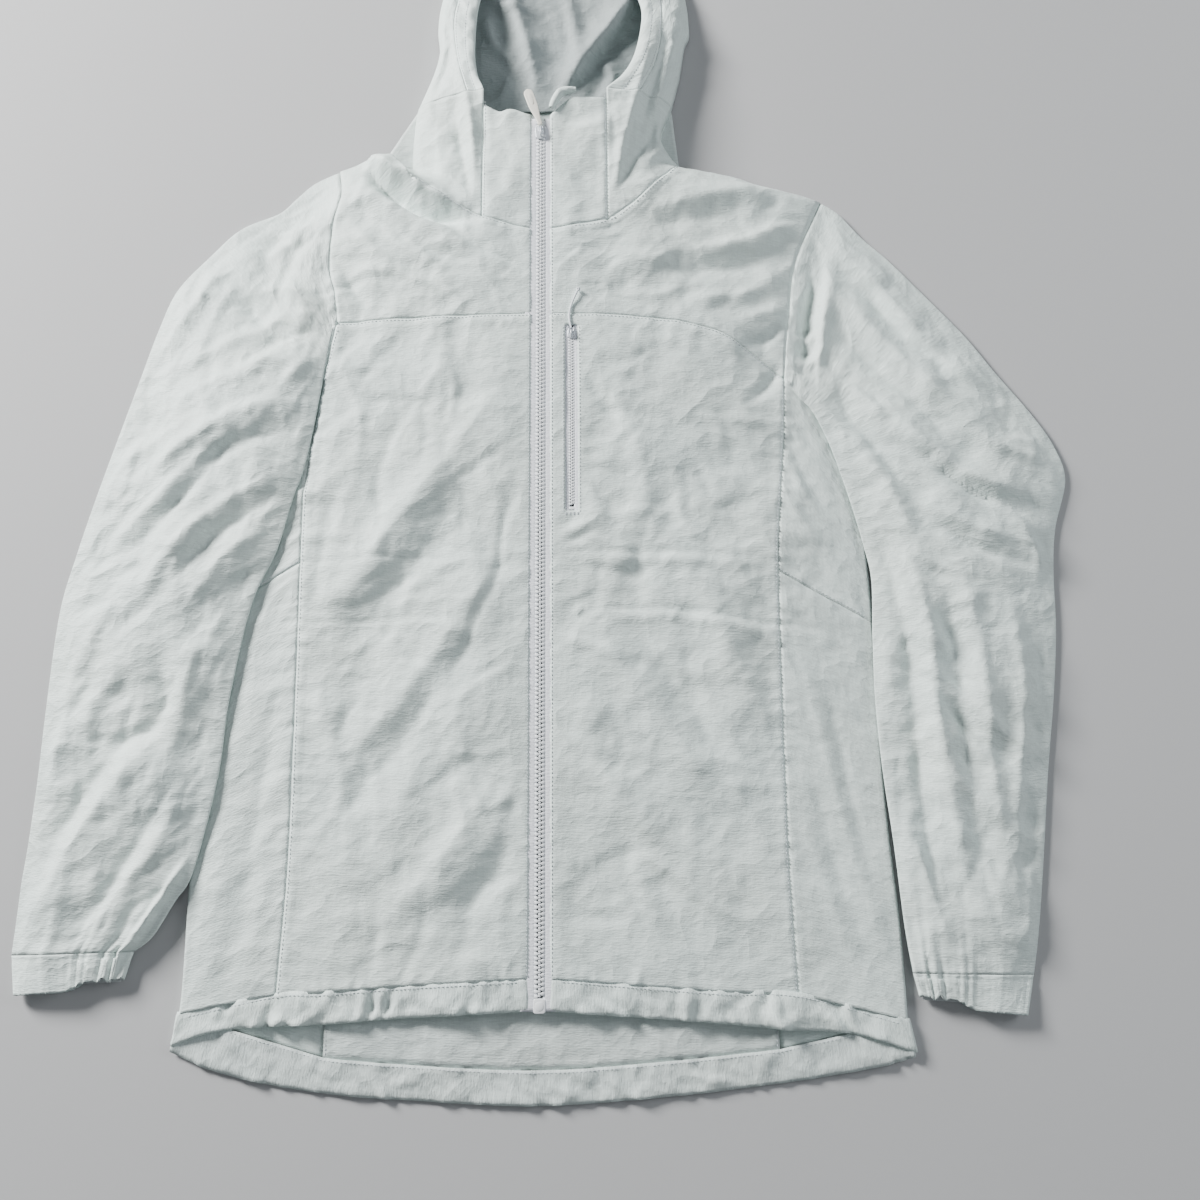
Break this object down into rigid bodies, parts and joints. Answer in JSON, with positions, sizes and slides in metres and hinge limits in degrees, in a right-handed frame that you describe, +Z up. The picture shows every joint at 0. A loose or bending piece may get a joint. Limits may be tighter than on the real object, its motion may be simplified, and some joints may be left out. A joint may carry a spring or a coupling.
{
  "type": "hooded wind jacket",
  "caption": "Light hooded wind jacket lying flat and zipped, with a full front zip, a zipped chest pocket, elastic cuffs and a dropped back hem.",
  "frame": {"origin": "on the resting surface under the bottom end of the main zip, on the outside of the back panel", "axes": "+Z up out of the jacket's front, +Y from the hem to the hood, +X towards the wearer's left"},
  "size_m": [0.814, 1.0296, 0.04],
  "materials": {
    "shell_fabric": "thin woven nylon, soft sheen, pale cool grey",
    "zip_tape": "woven tape, matt, cool white",
    "zip_plastic": "moulded white plastic teeth",
    "slider": "painted die-cast slider, satin",
    "pull_tab": "soft moulded tab, cream, matt",
    "pull_cord": "thin braided cord, off-white",
    "elastic": "flat knitted elastic",
    "pocket_mesh": "light knitted pocket cloth"
  },
  "bodies": {
    "torso": {"front_panel_right": "shell_fabric", "front_panel_left": "shell_fabric", "front_yoke_right": "shell_fabric", "front_yoke_left": "shell_fabric", "collar_right": "shell_fabric", "collar_left": "shell_fabric", "side_panel_right": "shell_fabric", "side_panel_left": "shell_fabric", "underarm_gusset_right": "shell_fabric", "underarm_gusset_left": "shell_fabric", "back_panel": "shell_fabric", "back_yoke": "shell_fabric", "hem_band_front_right": "shell_fabric", "hem_band_front_left": "shell_fabric", "hem_band_back": "shell_fabric", "sleeve_cap_right": "shell_fabric", "sleeve_cap_left": "shell_fabric", "sleeve_cap_back_right": "shell_fabric", "sleeve_cap_back_left": "shell_fabric", "hood_neck_right": "shell_fabric", "hood_neck_left": "shell_fabric", "hood_neck_back": "shell_fabric", "hang_loop": "zip_tape", "zip_tape_right": "zip_tape", "zip_tape_left": "zip_tape", "zip_teeth_right": "zip_plastic", "zip_teeth_left": "zip_plastic", "zip_top_stop_right": "zip_plastic", "zip_top_stop_left": "zip_plastic", "zip_retainer_box": "zip_plastic", "zip_insertion_pin": "zip_plastic", "zip_wind_flap": "shell_fabric", "zip_garage": "shell_fabric", "pocket_tape_inner": "zip_tape", "pocket_tape_outer": "zip_tape", "pocket_teeth_inner": "zip_plastic", "pocket_teeth_outer": "zip_plastic", "pocket_zip_stop": "zip_plastic", "pocket_bag": "pocket_mesh"},
    "sleeve_right": {"sleeve_upper_right": "shell_fabric", "sleeve_under_right": "shell_fabric", "cuff_right": "shell_fabric", "cuff_elastic_right": "elastic"},
    "sleeve_left": {"sleeve_upper_left": "shell_fabric", "sleeve_under_left": "shell_fabric", "cuff_left": "shell_fabric", "cuff_elastic_left": "elastic"},
    "hood": {"hood_crown_back": "shell_fabric", "hood_side_right": "shell_fabric", "hood_centre_top": "shell_fabric", "hood_side_left": "shell_fabric", "hood_brim": "shell_fabric"},
    "main_slider": {"main_slider": "slider"},
    "main_pull": {"main_pull_link": "slider", "main_pull_tab": "pull_tab"},
    "pocket_slider": {"pocket_slider": "slider"},
    "pocket_pull": {"pocket_pull_link": "slider", "pocket_pull_cord": "pull_cord", "pocket_pull_knot": "pull_cord"}
  },
  "joints": [
    {"name": "main_zip_slide", "type": "slide", "parent": "torso", "child": "main_slider", "axis": [0, -0.9994, -0.0349], "range_m": [0, 0.692]},
    {"name": "main_pull_hinge", "type": "hinge", "parent": "main_slider", "child": "main_pull", "pos_m": [0, 0.707, 0.03763], "axis": [1, 0, 0], "range_deg": [0, 170]},
    {"name": "pocket_zip_slide", "type": "slide", "parent": "torso", "child": "pocket_slider", "axis": [0, -0.9994, -0.0349], "range_m": [0, 0.1415]},
    {"name": "pocket_pull_hinge", "type": "hinge", "parent": "pocket_slider", "child": "pocket_pull", "pos_m": [0.025, 0.52524, 0.0306], "axis": [1, 0, 0], "range_deg": [0, 170]},
    {"name": "sleeve_right_swing", "type": "hinge", "parent": "torso", "child": "sleeve_right", "pos_m": [-0.247, 0.556, 0], "axis": [0, 0, -1], "range_deg": [0, 30]},
    {"name": "sleeve_left_swing", "type": "hinge", "parent": "torso", "child": "sleeve_left", "pos_m": [0.283, 0.533, 0], "axis": [0, 0, 1], "range_deg": [0, 30]},
    {"name": "hood_fold", "type": "hinge", "parent": "torso", "child": "hood", "pos_m": [0, 0.75, 0.038], "axis": [1, 0, 0], "range_deg": [0, 60]}
  ]
}
